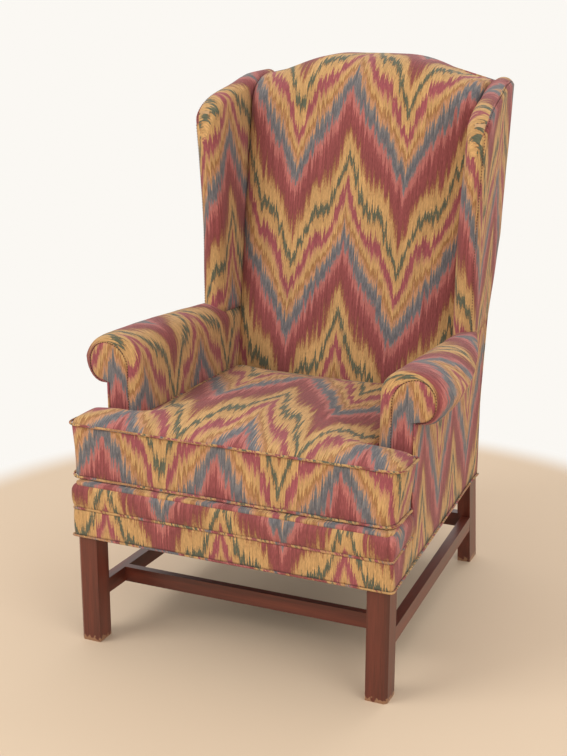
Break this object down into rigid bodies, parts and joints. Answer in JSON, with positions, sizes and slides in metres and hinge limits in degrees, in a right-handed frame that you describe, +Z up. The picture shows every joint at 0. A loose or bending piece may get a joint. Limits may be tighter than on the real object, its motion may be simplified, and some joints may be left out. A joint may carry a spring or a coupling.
{
  "type": "wingback armchair",
  "caption": "Upholstered wingback armchair with rolled arms, a loose T-shaped seat cushion and square stretchered legs, flame-stitch patterned cover.",
  "frame": {"origin": "on the floor under the middle of the bounding box", "axes": "+Z up, the chair faces -Y; +X is to the right as seen from the front, which is the sitter's left"},
  "size_m": [0.76, 0.8636, 1.1624],
  "materials": {
    "leg_wood": "satin dark red-brown mahogany stain",
    "frame_wood": "plain sawn hardwood",
    "cover_fabric": "woven flame-stitch upholstery cloth, matt",
    "welt_fabric": "self-covered welt cord",
    "padding": "cotton felt and foam padding",
    "jute": "jute webbing and burlap",
    "cambric": "thin black cambric",
    "spring_steel": "bright drawn wire",
    "screw_steel": "zinc plated",
    "zip_tape": "woven tape with moulded coil",
    "zip_metal": "worn"
  },
  "bodies": {
    "root": {"arm_front_panel_left": "cover_fabric", "arm_front_panel_right": "cover_fabric", "arm_pad_left": "padding", "arm_pad_right": "padding", "arm_posts": "frame_wood", "arm_rail_left": "frame_wood", "arm_rail_right": "frame_wood", "arm_scroll_board_left": "frame_wood", "arm_scroll_board_right": "frame_wood", "arm_tack_rails": "frame_wood", "back_pad": "padding", "back_post_left": "leg_wood", "back_post_right": "leg_wood", "back_seat_rail": "frame_wood", "back_tack_rail": "frame_wood", "back_webbing": "jute", "corner_block_screws": "screw_steel", "corner_blocks": "frame_wood", "crest_rail": "frame_wood", "cross_stretcher": "leg_wood", "deck_cover": "cover_fabric", "deck_edge_roll": "jute", "deck_pad": "padding", "dust_cover": "cambric", "frame_dowels": "frame_wood", "front_border": "cover_fabric", "front_leg_left": "leg_wood", "front_leg_right": "leg_wood", "front_seat_rail": "frame_wood", "hem_welt": "welt_fabric", "inside_arm_cover_left": "cover_fabric", "inside_arm_cover_right": "cover_fabric", "inside_back_cover": "cover_fabric", "inside_wing_cover_left": "cover_fabric", "inside_wing_cover_right": "cover_fabric", "outside_arm_cover_left": "cover_fabric", "outside_arm_cover_right": "cover_fabric", "outside_back_cover": "cover_fabric", "outside_wing_cover_left": "cover_fabric", "outside_wing_cover_right": "cover_fabric", "rail_band": "cover_fabric", "rail_welt": "welt_fabric", "rear_stretcher": "leg_wood", "seat_springs": "spring_steel", "seat_webbing": "jute", "side_seat_rail_left": "frame_wood", "side_seat_rail_right": "frame_wood", "side_stretcher_left": "leg_wood", "side_stretcher_right": "leg_wood", "spring_burlap": "jute", "wing_pad_left": "padding", "wing_pad_right": "padding", "wing_post_left": "frame_wood", "wing_post_right": "frame_wood", "wing_rails": "frame_wood"},
    "seat_cushion": {"cushion_core": "padding", "cushion_cover": "cover_fabric", "cushion_welts": "welt_fabric", "cushion_zip_tape": "zip_tape"},
    "zip_slider": {"cushion_zip_slider": "zip_metal"}
  },
  "joints": [
    {"name": "cushion_slide", "type": "slide", "parent": "root", "child": "seat_cushion", "axis": [0, -0.9997, 0.0262], "range_m": [0, 0.65]},
    {"name": "zip_slide", "type": "slide", "parent": "seat_cushion", "child": "zip_slider", "axis": [1, 0, 0], "range_m": [0, 0.28]}
  ]
}
